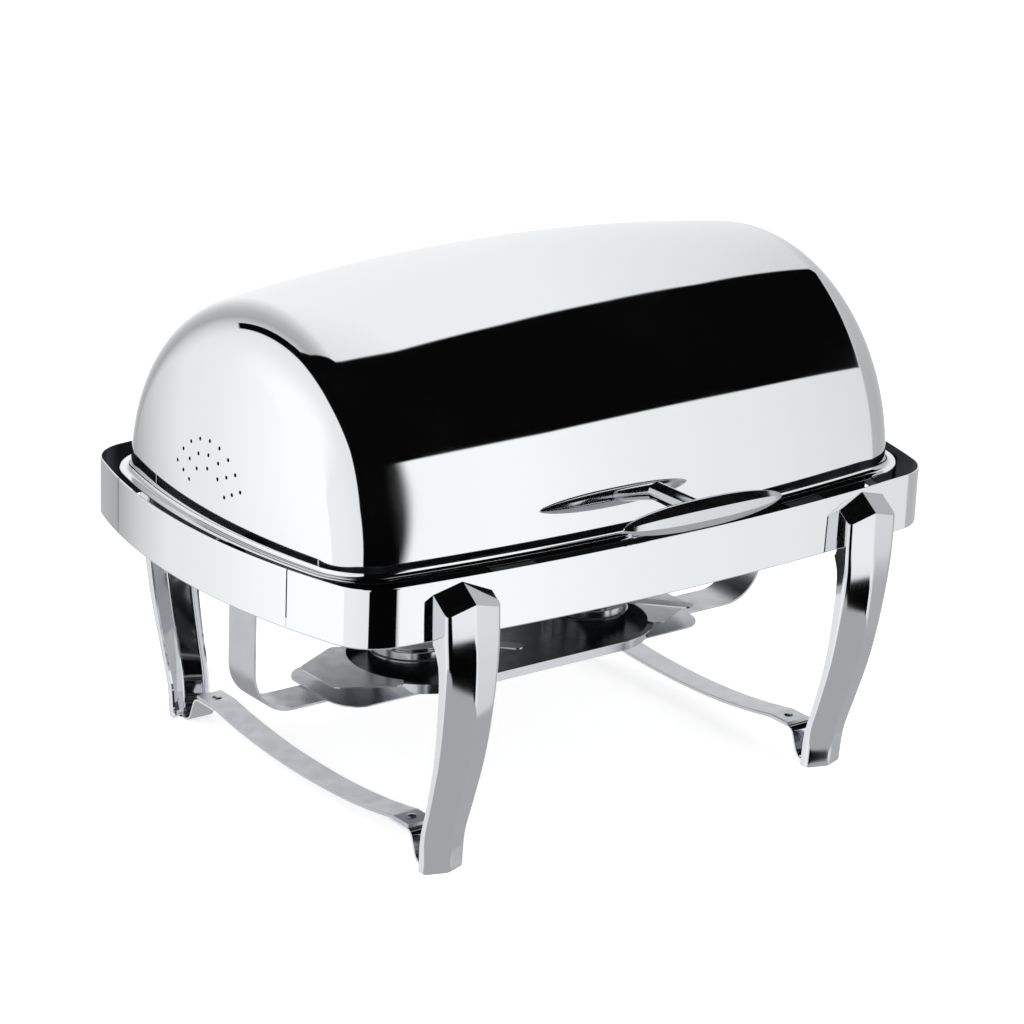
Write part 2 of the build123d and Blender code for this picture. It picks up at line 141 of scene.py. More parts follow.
def add_node(tree, kind, settings=None, **sockets):
    """Adds a node, sets its properties, and sets or links its inputs by name or number."""
    node = tree.nodes.new(kind)
    for key, value in (settings or {}).items():
        setattr(node, key, value)
    for key, value in sockets.items():
        socket = node.inputs[int(key[1:])] if key[1:].isdigit() else node.inputs[key.replace("_", " ")]
        if isinstance(value, bpy.types.NodeSocket):
            tree.links.new(value, socket)
        else:
            socket.default_value = value
    return node


# %% [markdown]
# A buffed mirror isn't perfect: the wheel leaves it a little hazy in patches a few centimetres wide,
# and the sheet under it undulates by microns. Noise in the roughness gives the haze, and a very weak
# bump gives the undulation.

# %% Steel by its finish
def stainless(name, colour, roughness, haze, haze_mm, grain_mm=(30, 30, 30), bump_mm=0.0, bump_strength=0.0):
    """Stainless steel whose roughness and height vary over haze_mm and grain_mm."""
    material = bpy.data.materials.new(name)
    material.use_nodes = True
    tree = material.node_tree
    tree.nodes.clear()
    place = add_node(tree, "ShaderNodeTexCoord")
    patches = add_node(tree, "ShaderNodeTexNoise", Vector=place.outputs["Object"],
                       Scale=1 / (haze_mm * MM), Detail=3.0)
    rough = add_node(tree, "ShaderNodeMapRange", Value=patches.outputs["Fac"])
    for socket, value in (("From Min", 0.3), ("From Max", 0.7),
                          ("To Min", roughness - haze), ("To Max", roughness + haze)):
        rough.inputs[socket].default_value = value
    steel = add_node(tree, "ShaderNodeBsdfPrincipled", Base_Color=linear(colour), Metallic=1.0,
                     Roughness=rough.outputs["Result"])
    if bump_mm:
        stretch = add_node(tree, "ShaderNodeMapping", Vector=place.outputs["Object"],
                           Scale=[1 / (size * MM) for size in grain_mm])
        grain = add_node(tree, "ShaderNodeTexNoise", Vector=stretch.outputs["Vector"], Scale=1.0, Detail=4.0)
        bump = add_node(tree, "ShaderNodeBump", Height=grain.outputs["Fac"], Distance=bump_mm * MM,
                        Strength=bump_strength)
        tree.links.new(bump.outputs["Normal"], steel.inputs["Normal"])
    add_node(tree, "ShaderNodeOutputMaterial", Surface=steel.outputs["BSDF"])
    return material


mirror_steel = stainless("stainless_mirror_buffed", "#EDEFF1", 0.035, 0.012, 60)
leg_steel = stainless("stainless_bright_polished", "#E0E2E6", 0.06, 0.02, 40)
handle_steel = stainless("stainless_cast_polished", "#DADCE0", 0.10, 0.02, 25)
pressed_steel = stainless("stainless_bright_pressed", "#D0D2D6", 0.17, 0.04, 30, (60, 60, 60), 0.3, 0.15)
satin_steel = stainless("stainless_satin_belted", "#C8CACF", 0.33, 0.05, 12, (0.6, 40, 40), 0.02, 0.25)
turned_steel = stainless("stainless_turned", "#C4C6CA", 0.24, 0.05, 6)
# Only outsides are buffed, so an inside is rougher, and its dark grey colour is painted shade.
# The near-black steel is painted shade for the pieces seen in the dark gap between lid and band.
dull_shaded_steel = stainless("stainless_dull_painted_shade", "#4C4E52", 0.38, 0.06, 15, (40, 40, 1.2), 0.02, 0.2)
painted_shade_steel = stainless("stainless_painted_shade_black", "#1E1F21", 0.42, 0.06, 20)
FACES_INWARD = -0.25


def dull_and_shade_inside(piece, middle):
    """Faces that look towards the middle get the rough finish whose dark colour is painted shade."""
    piece.data.materials.append(dull_shaded_steel)
    for face in piece.data.polygons:
        away = face.center - Vector(middle(face.center))
        if face.normal.dot(away.normalized()) < FACES_INWARD:
            face.material_index = 1


print("finishes:", [m.name for m in bpy.data.materials])


# %% [markdown]
# ## The bowed outline
# Lid and skirt share one plan: four sides bowed outwards, joined by tangent corners. Each side is an
# arc through its bow, and the corner's centre is where two circles about the bow centres cross.
# Points come with their outward direction, so any offset from the line is one step along it.

# %% Outline of arcs
SEAM_STEPS, END_STEPS, CORNER_STEPS, SIDE_STEPS = 2, 14, 22, 26
SEAM_ARC = 0.002


def arc_points(centre, radius, start, stop, steps):
    """Points on an arc with their outward directions."""
    angles = [start + (stop - start) * i / steps for i in range(steps + 1)]
    return [(centre[0] + radius * cos(t), centre[1] + radius * sin(t), cos(t), sin(t)) for t in angles]


def bowed_quarter(length, width, side_bow, end_bow, corner, seam=None, fine=1):
    """Quarter outline from the end's middle (a, 0) over the corner to the side's middle (0, w)."""
    a, w = length / 2, width / 2
    side_r = (a * a + side_bow**2) / (2 * side_bow)
    end_r = (w * w + end_bow**2) / (2 * end_bow)
    side_c, end_c = Vector((0, w - side_r)), Vector((a - end_r, 0))
    gap = end_c - side_c
    ra, rb = side_r - corner, end_r - corner
    along = (ra * ra - rb * rb + gap.length_squared) / (2 * gap.length)
    across = sqrt(ra * ra - along * along)
    direction = gap.normalized()
    sideways = Vector((-direction.y, direction.x))
    corner_c = max((side_c + direction * along + sideways * s * across for s in (-1, 1)), key=lambda p: p.x)
    to_end = corner_c - end_c
    to_side = corner_c - side_c
    end_angle, side_angle = atan2(to_end.y, to_end.x), atan2(to_side.y, to_side.x)
    stops = [0] + ([asin(s / end_r) for s in seam] if seam else []) + [end_angle]
    points = []
    for start, stop in zip(stops, stops[1:]):
        steps = SEAM_STEPS if stop - start < SEAM_ARC else END_STEPS * fine
        points += arc_points(end_c, end_r, start, stop, steps)[:-1]
    points += arc_points(corner_c, corner, end_angle, side_angle, CORNER_STEPS * fine)[:-1]
    points += arc_points(side_c, side_r, side_angle, pi / 2, SIDE_STEPS * fine)
    return points


def all_round(quarter):
    """The closed outline, anticlockwise from the right end's middle."""
    first = quarter[:-1]
    back = [(-x, y, -nx, ny) for x, y, nx, ny in reversed(quarter[1:])]
    left = [(-x, -y, -nx, -ny) for x, y, nx, ny in first]
    front = [(x, -y, nx, -ny) for x, y, nx, ny in reversed(quarter[1:])]
    return first + back + left + front


def along_outline(outline, section):
    """A section of (outward offset, height) pairs carried round an outline, in metres."""
    return [[((x + nx * out) * MM, (y + ny * out) * MM + AXIS_Y, z * MM) for out, z in section]
            for x, y, nx, ny in outline]


# %% [markdown]
# ## Lid
# The real lid is drawn from one sheet in a deep press, then its rim is turned out. As the CAD lid, it
# is half a body of revolution about the hinge line, so one profile spun through 180 degrees gives the
# outside, and the same profile moved in by the sheet's thickness gives the inside.

# %% Spin the lid
LID = dict(length=611, width=383.8, side_bow=25.25, end_bow=32, corner=51.2)
SHEET = 1.2
FLANGE = 9.3
LID_TURNS = 120
lid_quarter = bowed_quarter(**LID, fine=2)
lid_profile = lid_quarter + [(-x, y, -nx, ny) for x, y, nx, ny in reversed(lid_quarter[:-1])]
axis_height = AXIS_Z / MM


def spin(profile, inset):
    """A profile moved in by inset and turned through 180 degrees about the hinge line, as rows."""
    rows = []
    for step in range(LID_TURNS + 1):
        t = pi * step / LID_TURNS
        ring = [(x - nx * inset, max(r - nr * inset, 0)) for x, r, nx, nr in profile]
        rows.append([(x * MM, AXIS_Y + r * MM * cos(t), AXIS_Z + r * MM * sin(t)) for x, r in ring])
    return rows


def rim_of(rows):
    """The open edge of a spun half shell, once round."""
    return rows[0] + list(reversed(rows[-1]))[1:-1]


outside, inside = spin(lid_profile, 0), spin(lid_profile, SHEET)
edge = grid([rim_of(outside), rim_of(inside)], closed_across=True)
# the fillet between dome and rim, how far the rim laps under the dome, and the ease of its edges
FILLET, FILLET_STEPS, LAP, EASE = 4.8, 10, 0.7, 0.4
bend = [(FILLET - 0.1 - FILLET * cos(t), SHEET + FILLET - FILLET * sin(t))
        for t in [pi / 2 - pi / 2 * i / FILLET_STEPS for i in range(FILLET_STEPS + 1)]]
rim_section = [(-LAP, 0), (FLANGE - EASE, 0), (FLANGE, 0.3), (FLANGE, 0.9), (FLANGE - EASE, SHEET),
               (FLANGE - 2 * EASE, SHEET), (FILLET + EASE, SHEET)]
rim_section += bend + [(-LAP, SHEET + FILLET)]
rim_section = [(out, axis_height + up) for out, up in rim_section]
rim = tube(along_outline(all_round(lid_quarter), rim_section), capped=False)
lid = finish_mesh("lid_dome_mirror", *joined(grid(outside), grid(inside), edge), mirror_steel)
lid_rim = finish_mesh("lid_rim_mirror", *rim, mirror_steel)
for piece in (lid, lid_rim):
    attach(piece, "lid")
    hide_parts("lid_shell")
print("lid faces:", len(lid.data.polygons))


# %% [markdown]
# ## Skirt band
# The band is four strips bent round the outline and butted at two seams on each end. Cutting the
# outline where the strips meet leaves the hairline gap that the real seams show, and small radii on
# the strip's edges catch the light as a deburred edge does.

# %% Four skirt strips
BODY = dict(length=650, width=438.6, side_bow=25, end_bow=43, corner=43)
BAND_BOTTOM, BAND_TOP, BAND_SHEET = 205.9, 254.1, 1.5
SEAM_Y, SEAM_GAP = 125, 1.3
band_quarter = bowed_quarter(**BODY, seam=(SEAM_Y - SEAM_GAP / 2, SEAM_Y + SEAM_GAP / 2), fine=2)
band_outline = all_round(band_quarter)
edge_radius = 0.5
# a second row close to each edge keeps the broad face flat, so its reflection runs straight to the edge
low_edge, low_row = BAND_BOTTOM + edge_radius, BAND_BOTTOM + 2 * edge_radius
high_edge, high_row = BAND_TOP - edge_radius, BAND_TOP - 2 * edge_radius
band_section = [(0, low_edge), (0, low_row), (0, high_row), (0, high_edge), (-edge_radius / 2, BAND_TOP),
                (-BAND_SHEET + edge_radius / 2, BAND_TOP), (-BAND_SHEET, high_edge), (-BAND_SHEET, high_row),
                (-BAND_SHEET, low_row), (-BAND_SHEET, low_edge), (-BAND_SHEET + edge_radius / 2, BAND_BOTTOM),
                (-edge_radius / 2, BAND_BOTTOM)]


def outline_run(wanted):
    """The points of the band's outline that are wanted, in order from one end of the run."""
    flags = [wanted(point) for point in band_outline]
    start = next(i for i in range(len(flags)) if flags[i] and not flags[i - 1])
    turned = band_outline[start:] + band_outline[:start]
    return [point for point in turned if wanted(point)]


low_seam, high_seam = SEAM_Y - SEAM_GAP / 2 + 0.01, SEAM_Y + SEAM_GAP / 2 - 0.01
skirt_runs = {
    "front": lambda p: p[1] < -high_seam,
    "back": lambda p: p[1] > high_seam,
    "end_left": lambda p: p[0] < 0 and abs(p[1]) < low_seam,
    "end_right": lambda p: p[0] > 0 and abs(p[1]) < low_seam,
}
for where, wanted in skirt_runs.items():
    run = along_outline(outline_run(wanted), band_section)
    strip = finish_mesh(f"skirt_{where}_mirror", *tube(run), mirror_steel)
    # the strip's inside faces take the dark colour that paints shade on them
    dull_and_shade_inside(strip, lambda place: (0, AXIS_Y, place.z))
    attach(strip, "body")
    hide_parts(f"skirt_{where}")
print("skirt strips:", list(skirt_runs))


# %% [markdown]
# ## Legs
# Each leg is one sheet folded along its length into a shallow V with two returns, nipped in towards
# the foot and closed at the top by two roof facets. Folded sheet has soft creases, so each fold is an
# arc. The stations are the leg's design heights, and the rows between follow a smooth curve.

# %% Leg section and heights
LEG_TOP_X, LEG_FOOT_X, LEG_SHEET = 206, 201, 2
# height, ridge, edge, half width, depth of the returns; ridge and edge are distances from the middle
LEG_STATIONS = [
    (0, 198, 191.5, 19, 8), (30, 201, 194, 19.5, 8), (60, 209.5, 203, 20.5, 8), (100, 220.5, 214.5, 22, 9),
    (140, 228.5, 221.5, 23.5, 10), (185, 231, 226, 25, 12), (212, 229.5, 226, 26, 20),
    (255, 227, 224.5, 26, 20),
]
ROOF_RIDGE, ROOF_PEAK, ROOF_CORNER = (0, 228, 238), (0, 209.3, 251.5), (26, 207, 244)
FOLD_RADII, FOLD_STEPS = (4, 7, 4), 6
LEG_ROWS, RETURN_STEPS = 90, 6
# the returns stop this far from the band, and start reaching for it this far below it
BAND_CLEAR, BAND_REACH = 0.4, 3


def leg_at(z):
    """Ridge, edge, half width and returns at a height, on a curve through the stations."""
    i = max(k for k in range(len(LEG_STATIONS) - 1) if LEG_STATIONS[k][0] <= z)
    before, here = LEG_STATIONS[max(i - 1, 0)], LEG_STATIONS[i]
    there, after = LEG_STATIONS[i + 1], LEG_STATIONS[min(i + 2, len(LEG_STATIONS) - 1)]
    span = there[0] - here[0]
    t = (z - here[0]) / span
    values = []
    for k in range(1, 5):
        slope_here = (there[k] - before[k]) / (there[0] - before[0]) * span
        slope_there = (after[k] - here[k]) / (after[0] - here[0]) * span
        values.append(here[k] * (2 * t**3 - 3 * t**2 + 1) + slope_here * (t**3 - 2 * t**2 + t)
                      + there[k] * (3 * t**2 - 2 * t**3) + slope_there * (t**3 - t**2))
    return values


def roof_height(x, y):
    """Height of the roof facet over a point, x from the leg's middle and y outwards."""
    low, peak, corner = Vector(ROOF_RIDGE), Vector(ROOF_PEAK), Vector(ROOF_CORNER)
    normal = (low - peak).cross(corner - peak)
    return peak.z - (normal.x * abs(x) + normal.y * (y - peak.y)) / normal.z


def softened(points, radii, steps):
    """A run of 2D points with each inner corner rounded."""
    run = [points[0]]
    for before, corner, after, radius in zip(points, points[1:], points[2:], radii):
        p, q, r = Vector(before), Vector(corner), Vector(after)
        into, out = (q - p).normalized(), (r - q).normalized()
        turn = acos(max(-1, min(1, into.dot(out))))
        reach = min(radius * tan(turn / 2), 0.45 * (q - p).length, 0.45 * (r - q).length)
        first, last = q - into * reach, q + out * reach
        for s in range(steps + 1):
            t = s / steps
            run.append(tuple(first * (1 - t)**2 + q * 2 * t * (1 - t) + last * t * t))
    return run + [points[-1]]


def side_distance(x):
    """How far the band's long side lies from the middle at x."""
    radius = ((BODY["length"] / 2)**2 + BODY["side_bow"]**2) / (2 * BODY["side_bow"])
    return sqrt(radius**2 - x**2) - radius + BODY["width"] / 2


def leg_section(z):
    """The folded section's outside at a height, from one return's edge to the other's."""
    ridge, edge, half, returns = leg_at(z)
    middle = LEG_FOOT_X + (LEG_TOP_X - LEG_FOOT_X) * z / BAND_TOP
    folds = [(-half, edge - returns), (-half, edge), (0, ridge), (half, edge), (half, edge - returns)]
    points = softened(folds, FOLD_RADII, FOLD_STEPS)
    back = [edge - returns if z < BAND_BOTTOM - BAND_REACH else side_distance(middle + x) + BAND_CLEAR
            for x in (-half, half)]
    flat = []
    for here, there in zip(points, points[1:]):
        flat.append(here)
        gap = Vector(there) - Vector(here)
        if gap.length > 6 and here[0] > -half and there[0] < half:
            flat += [tuple(Vector(here) + gap * share) for share in (0.07, 0.93)]
    points = flat + points[-1:]
    first, last = points[1], points[-2]
    one_return = [(-half, back[0] + (first[1] - back[0]) * k / RETURN_STEPS) for k in range(RETURN_STEPS)]
    other_return = [(half, last[1] + (back[1] - last[1]) * k / RETURN_STEPS)
                    for k in range(1, RETURN_STEPS + 1)]
    return [(middle, x, y) for x, y in one_return + points[1:-1] + other_return]


# %% Fold the legs
def leg_sheet():
    """Outside of a right-hand back leg as rows: the folded wall, then the roof from its rim to the band."""
    wall = []
    for i in range(LEG_ROWS + 1):
        row = []
        for j in range(len(leg_section(0))):
            middle, x, y = leg_section(ROOF_CORNER[2])[j]
            z = min(ROOF_CORNER[2], roof_height(x, y)) * i / LEG_ROWS
            middle, x, y = leg_section(z)[j]
            row.append((middle + x, y, z if i < LEG_ROWS else roof_height(x, y)))
        wall.append(row)
    rim = wall[-1][RETURN_STEPS:-RETURN_STEPS]
    roof = []
    for k in range(RETURN_STEPS + 1):
        row = []
        for x, y, z in rim:
            inward = y + (side_distance(x) + BAND_CLEAR - y) * k / RETURN_STEPS
            row.append((x, inward, roof_height(x - LEG_TOP_X, inward)))
        roof.append(row)
    return wall, roof


def placed(rows, flip_x, flip_y):
    """Rows in millimetres put in the frame in metres, mirrored to one of the four corners."""
    return [[(flip_x * x * MM, flip_y * y * MM + AXIS_Y, z * MM) for x, y, z in row] for row in rows]


def thicken(piece, sheet_mm):
    """Give an open sheet its thickness inwards, ease its edges, and apply both."""
    solid = piece.modifiers.new("sheet", "SOLIDIFY")
    solid.thickness = sheet_mm * MM
    solid.offset = -1
    ease = piece.modifiers.new("eased edges", "BEVEL")
    ease.width = 0.8 * MM
    ease.segments = 3
    ease.limit_method = "ANGLE"
    ease.angle_limit = radians(40)
    ease.harden_normals = True
    with_sheet = bpy.data.meshes.new_from_object(piece.evaluated_get(bpy.context.evaluated_depsgraph_get()))
    piece.modifiers.clear()
    piece.data = with_sheet


def strip_rows(path, width, sheet, x_middle):
    """A strip of sheet along a path of (y, z) points, with slightly rounded long edges."""
    nick = min(0.4, sheet / 3)
    half, thick = width / 2, sheet / 2
    section = [(-half + nick, -thick), (half - nick, -thick), (half, -thick + nick), (half, thick - nick),
               (half - nick, thick), (-half + nick, thick), (-half, thick - nick), (-half, -thick + nick)]
    rows = []
    for i, (y, z) in enumerate(path):
        before, after = path[max(i - 1, 0)], path[min(i + 1, len(path) - 1)]
        run = Vector((after[0] - before[0], after[1] - before[1])).normalized()
        rows.append([(x_middle + across, y - run.y * up, z + run.x * up) for across, up in section])
    return rows


TONGUE = softened([(188, 1), (170, 1), (161, 25), (131, 25)], (11, 9), 12)
TONGUE_WIDTH = 24
SOLE_SHARE, SOLE_INSET, SOLE_LIFT = 0.985, 0.2, 0.05
leg_wall, leg_roof = leg_sheet()
for end, flip_x in (("left", -1), ("right", 1)):
    for side, flip_y in (("front", -1), ("back", 1)):
        name = f"leg_{side}_{end}"
        wall = finish_mesh(name + "_wall", *joined(grid(placed(leg_wall, flip_x, flip_y)),
                                                   grid(placed(leg_roof, flip_x, flip_y))), leg_steel)
        centre = Vector((flip_x * LEG_TOP_X * MM, AXIS_Y, 0.12))
        if sum(face.normal.dot(face.center - centre) * face.area for face in wall.data.polygons) < 0:
            wall.data.flip_normals()
        thicken(wall, LEG_SHEET)
        tongue = placed(strip_rows(TONGUE, TONGUE_WIDTH, LEG_SHEET, LEG_FOOT_X), flip_x, flip_y)
        sole = [[(middle + x * SOLE_SHARE, y - SOLE_INSET, z) for middle, x, y in leg_section(0)]
                for z in (SOLE_LIFT, LEG_SHEET)]
        foot_shape = joined(tube(tongue), tube(placed(sole, flip_x, flip_y)))
        foot = finish_mesh(name + "_foot", *foot_shape, leg_steel)
        for piece in (wall, foot):
            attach(piece, "body")
            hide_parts(name)
print("leg section points:", len(leg_wall[0]), "rows:", len(leg_wall))


# %% [markdown]
# ## Lower bars
# A flat bar ties each pair of feet. It lies on the two tongues and dips between them in one soft
# curve, so its height rises from the middle as a power of the distance.

# %% Bend the lower bars
BAR_HIGH, BAR_LOW, BAR_WIDTH, BAR_SHEET, BAR_HALF = 27.5, 15.5, 25, 3, 158
BAR_DIP_FROM, BAR_CURVE, BAR_X = 136, 2.2, 200


def bar_height(y):
    """Height of the bar's middle at y."""
    share = min(1, abs(y) / BAR_DIP_FROM)
    return BAR_LOW + (BAR_HIGH - BAR_LOW) * share**BAR_CURVE


bar_path = [(-BAR_HALF + 2 * i, bar_height(-BAR_HALF + 2 * i)) for i in range(BAR_HALF + 1)]
for end, flip_x in (("left", -1), ("right", 1)):
    bar_rows = placed(strip_rows(bar_path, BAR_WIDTH, BAR_SHEET, BAR_X), flip_x, 1)
    bar = finish_mesh(f"cross_bar_{end}_satin", *tube(bar_rows), satin_steel)
    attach(bar, "body")
    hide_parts(f"cross_bar_{end}")
print("bar rows:", len(bar_path))


# %% [markdown]
# ## Handle
# The grip is a casting polished to a boat shape. Its front has two faces with a crisp line between
# them: the upper one looks up at the dark flag and the lower one looks out at the white card. One
# section is scaled along the length by a curve that stays full and closes with a blunt end.

# %% Cast the grip
grip_low, grip_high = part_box("lid_handle_bar")
grip_middle = (grip_low + grip_high) / 2
grip_half = (grip_high - grip_low) / 2
# the section's corners as shares of its half depth (front is -1) and half height, from the back of the top
GRIP_CORNERS = [(0.8, 0.8), (-0.02, 1.0), (-0.97, 0.42), (-0.95, -0.45), (-0.3, -1.0), (0.45, -1.0),
                (0.97, -0.3), (0.97, 0.3)]
GRIP_DEPTH, GRIP_HEIGHT = 7.5, 12.5
GRIP_RADII, GRIP_SOFT_STEPS = (2.4, 0.9, 7.0, 6.0, 5.0, 5.0, 4.0, 3.0), 6
GRIP_ROWS, GRIP_FULL, GRIP_BLUNT = 120, 2.3, 0.6
middle_of_top = (0.4, 0.92)
loop = [middle_of_top] + GRIP_CORNERS[1:] + GRIP_CORNERS[:1] + [middle_of_top]
loop_mm = [(y * GRIP_DEPTH, z * GRIP_HEIGHT) for y, z in loop]
grip_section = softened(loop_mm, GRIP_RADII, GRIP_SOFT_STEPS)[:-1]
grip_rows = []
for i in range(GRIP_ROWS + 1):
    u = -cos(pi * i / GRIP_ROWS) * 0.9995
    swell = (1 - abs(u)**GRIP_FULL)**GRIP_BLUNT
    grip_rows.append([(grip_middle.x + grip_half.x * 0.998 * u,
                       grip_middle.y + grip_half.y / GRIP_DEPTH * y * swell,
                       grip_middle.z + grip_half.z / GRIP_HEIGHT * z * swell) for y, z in grip_section])
grip = finish_mesh("lid_handle_grip", *tube(grip_rows), handle_steel)
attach(grip, "lid")
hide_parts("lid_handle_bar")
print("grip rows:", len(grip_rows))


# %% [markdown]
# ## Pieces that keep their CAD shape
# Pans, tray, cups, brackets and screws keep the shape of the CAD model. A CAD mesh is loose
# triangles, so a copy is merged and shaded smooth across gentle bends and sharp across folds.

# %% Smooth copies of CAD pieces
nodes_of_body = frame["record"]["behaviour"]["bodies"]
body_of_node = {node: body for body, nodes in nodes_of_body.items() for node in nodes}
slot_of_node = {part["node"]: part["material_slot"] for part in frame["record"]["subparts"]}
finish_of_slot = {"mirror_steel": mirror_steel, "leg_steel": leg_steel, "handle_steel": handle_steel,
                  "pressed_steel": pressed_steel, "satin_steel": satin_steel, "fastener_steel": turned_steel}
drawn_here = {"lid_shell", "lid_handle_bar", "cross_bar_left", "cross_bar_right", "cross_bar_rivets"}
drawn_here |= {f"skirt_{where}" for where in skirt_runs}
drawn_here |= {f"leg_{side}_{end}" for side in ("front", "back") for end in ("left", "right")}
# the pieces behind the gap between lid and band get dark colours, painted shade that makes the gap look black
painted_shade_nodes = {"pan_frame": painted_shade_steel, "skirt_splice_plates": painted_shade_steel, "leg_mount_blocks": dull_shaded_steel,
              "front_bracket_left": painted_shade_steel, "front_bracket_right": painted_shade_steel,
              "end_bracket_left": painted_shade_steel, "end_bracket_right": painted_shade_steel, "water_pan": dull_shaded_steel}
for node, source in frame["nodes"].items():
    if node in drawn_here:
        continue
    shape = bmesh.new()
    shape.from_mesh(source.data)
    bmesh.ops.remove_doubles(shape, verts=shape.verts, dist=2e-6)
    mesh = bpy.data.meshes.new(node + "_smooth")
    bmesh.ops.dissolve_limit(shape, angle_limit=radians(0.05), verts=shape.verts, edges=shape.edges)
    shape.to_mesh(mesh)
    shape.free()
    for stale in [layer for layer in mesh.attributes if layer.name == "custom_normal"]:
        mesh.attributes.remove(stale)
    mesh.shade_smooth()
    mesh.set_sharp_from_angle(angle=SMOOTH_BELOW)
    mesh.materials.clear()
    # pieces seen in the dark gap take dark steel as painted shade
    mesh.materials.append(painted_shade_nodes.get(node) or finish_of_slot[slot_of_node[node]])
    copy = bpy.data.objects.new(node + "_smooth", mesh)
    bpy.context.collection.objects.link(copy)
    if node == "burner_tray":
        # the tray's inside faces take the dark colour that paints shade in it
        dull_and_shade_inside(copy, lambda place: (place.x * 0.6, AXIS_Y, place.z + 0.03))
    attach(copy, body_of_node[node])
    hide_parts(node)
print("copies:", len(frame["nodes"]) - len(drawn_here))


# %% [markdown]
# ## Bar rivets
# Rivets are one small shape repeated, which is what Geometry Nodes are for: points go in, a shape is
# set on each point, and the result is made real and given its finish. The CAD node of the rivets says
# where each one is, so its separate rivets are found and measured.

# %% A node tree that repeats a shape on points
def repeat_on_points(name, places, shape, size, material):
    """One mesh of shape at every (point, turn) of places, scaled by size."""
    mesh = bpy.data.meshes.new(name + "_points")
    mesh.from_pydata([tuple(point) for point, _ in places], [], [])
    turn = mesh.attributes.new("turn", "FLOAT_VECTOR", "POINT")
    for i, (_, value) in enumerate(places):
        turn.data[i].vector = value
    piece = bpy.data.objects.new(name, mesh)
    bpy.context.collection.objects.link(piece)
    tree = bpy.data.node_groups.new(name + "_repeat", "GeometryNodeTree")
    tree.interface.new_socket("Geometry", in_out="INPUT", socket_type="NodeSocketGeometry")
    size_input = tree.interface.new_socket("Head size", in_out="INPUT", socket_type="NodeSocketFloat")
    tree.interface.new_socket("Geometry", in_out="OUTPUT", socket_type="NodeSocketGeometry")
    given = add_node(tree, "NodeGroupInput")
    angle = add_node(tree, "GeometryNodeInputNamedAttribute", {"data_type": "FLOAT_VECTOR"}, Name="turn")
    master = add_node(tree, "GeometryNodeObjectInfo", Object=shape)
    heads = add_node(tree, "GeometryNodeInstanceOnPoints", Points=given.outputs["Geometry"],
                     Instance=master.outputs["Geometry"], Rotation=angle.outputs["Attribute"],
                     Scale=given.outputs["Head size"])
    real = add_node(tree, "GeometryNodeRealizeInstances", Geometry=heads.outputs["Instances"])
    painted = add_node(tree, "GeometryNodeSetMaterial", Geometry=real.outputs["Geometry"], Material=material)
    add_node(tree, "NodeGroupOutput", Geometry=painted.outputs["Geometry"])
    modifier = piece.modifiers.new("repeat", "NODES")
    modifier.node_group = tree
    modifier[size_input.identifier] = size
    bpy.context.view_layer.update()
    made = bpy.data.meshes.new_from_object(piece.evaluated_get(bpy.context.evaluated_depsgraph_get()))
    piece.modifiers.clear()
    piece.data = made
    made.shade_smooth()
    made.set_sharp_from_angle(angle=SMOOTH_BELOW)
    return piece


def turned_shape(name, profile, sides):
    """A small lathe-turned shape from (radius, height) pairs."""
    turns = [2 * pi * j / sides for j in range(sides)]
    rows = [[(r * MM * cos(t), r * MM * sin(t), z * MM) for t in turns] for r, z in profile]
    return finish_mesh(name, *tube(rows), turned_steel)


def fastener_places(node):
    """Centre and turn of every separate upright fastener in a CAD node, and the size of one."""
    shape = bmesh.new()
    shape.from_mesh(frame["nodes"][node].data)
    bmesh.ops.remove_doubles(shape, verts=shape.verts, dist=2e-6)
    left, places = set(shape.verts), []
    while left:
        island, front = set(), [left.pop()]
        while front:
            vert = front.pop()
            island.add(vert)
            for link in vert.link_edges:
                other = link.other_vert(vert)
                if other in left:
                    left.remove(other)
                    front.append(other)
        low = Vector([min(v.co[k] for v in island) for k in range(3)])
        high = Vector([max(v.co[k] for v in island) for k in range(3)])
        places.append(((low + high) / 2, high - low))
    shape.free()
    upright = (0, 0, 0)
    return [(centre, upright) for centre, _ in places], places[0][1]


# %% Set the rivets
bar_places, bar_size = fastener_places("cross_bar_rivets")
dome = [(0.2, 0.5), (1.6, 0.45), (2.9, 0.36), (3.9, 0.18), (4.45, 0.0)]
half = bar_size.z / MM / 2
HEAD_HEIGHT, RIVET_SIDES = 1.6, 20
lower_head = [(r, -half + HEAD_HEIGHT - HEAD_HEIGHT * up * 2) for r, up in dome]
upper_head = [(r, half - HEAD_HEIGHT + HEAD_HEIGHT * up * 2) for r, up in reversed(dome)]
rivet_master = turned_shape("rivet_master", lower_head + upper_head, RIVET_SIDES)
bar_rivets = repeat_on_points("cross_bar_rivets_turned", bar_places, rivet_master, 1.0, turned_steel)
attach(bar_rivets, "body")
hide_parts("cross_bar_rivets")
bpy.data.objects.remove(rivet_master)
print("rivets:", len(bar_places), "size", bar_size)


# %% [markdown]
# ## Vents
# Steam leaves through small holes punched in both ends, in three arcs. A cylinder stands at every
# hole's centre, and Mesh Boolean takes them all out of the lid in one step, as a gang punch would.

